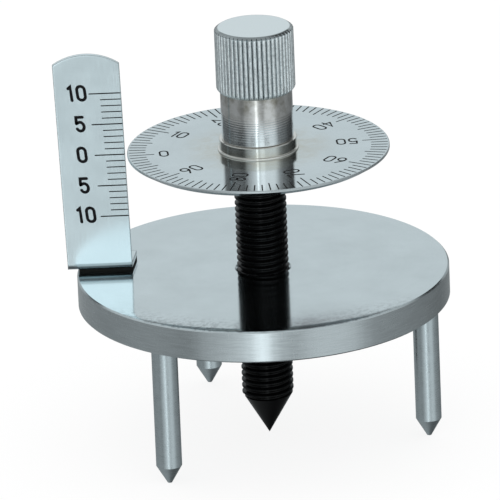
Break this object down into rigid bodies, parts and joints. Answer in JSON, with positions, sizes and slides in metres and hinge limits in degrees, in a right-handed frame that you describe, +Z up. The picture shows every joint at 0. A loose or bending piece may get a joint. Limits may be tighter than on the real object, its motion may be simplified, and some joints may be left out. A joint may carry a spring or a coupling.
{
  "type": "spherometer",
  "caption": "Spherometer: round steel plate on pointed legs, with a central micrometer screw, graduated dial, knurled knob and an upright millimetre scale, for measuring the curvature of surfaces.",
  "frame": {"origin": "on the screw's axis, in the plane of the three leg points", "axes": "+Z up along the screw, -Y towards the viewer, -X towards the upright scale"},
  "size_m": [0.0599, 0.0576, 0.0666],
  "materials": {
    "plate": "polished faces, turned rim",
    "legs": "satin turned",
    "screw": "black oxide, oiled",
    "dial": "polished, engraved and filled black",
    "collar": "turned",
    "knob": "turned barrel, straight knurl",
    "fasteners": "plain",
    "scale": "brushed sheet, engraved and filled black",
    "packing": "matt black strip"
  },
  "bodies": {
    "base": {"base_plate": "plate", "leg_front": "legs", "leg_right": "legs", "leg_rear": "legs", "upright_scale": "scale", "scale_packing": "packing", "scale_screws": "fasteners"},
    "carriage": {"dial_collar": "collar"},
    "spindle": {"micrometer_screw": "screw", "dial": "dial", "knob": "knob", "knob_grub_screw": "fasteners"}
  },
  "joints": [
    {"name": "screw_feed", "type": "slide", "parent": "base", "child": "carriage", "axis": [0, 0, 1], "range_m": [-0.01, 0.01]},
    {"name": "knob_turn", "type": "hinge", "parent": "carriage", "child": "spindle", "pos_m": [0, 0, 0.04695], "axis": [0, 0, 1], "range_deg": [-3600, 3600]}
  ],
  "couplings": [
    {"joint": "screw_feed", "follows": "knob_turn", "m_per_rad": 0.00015915}
  ]
}
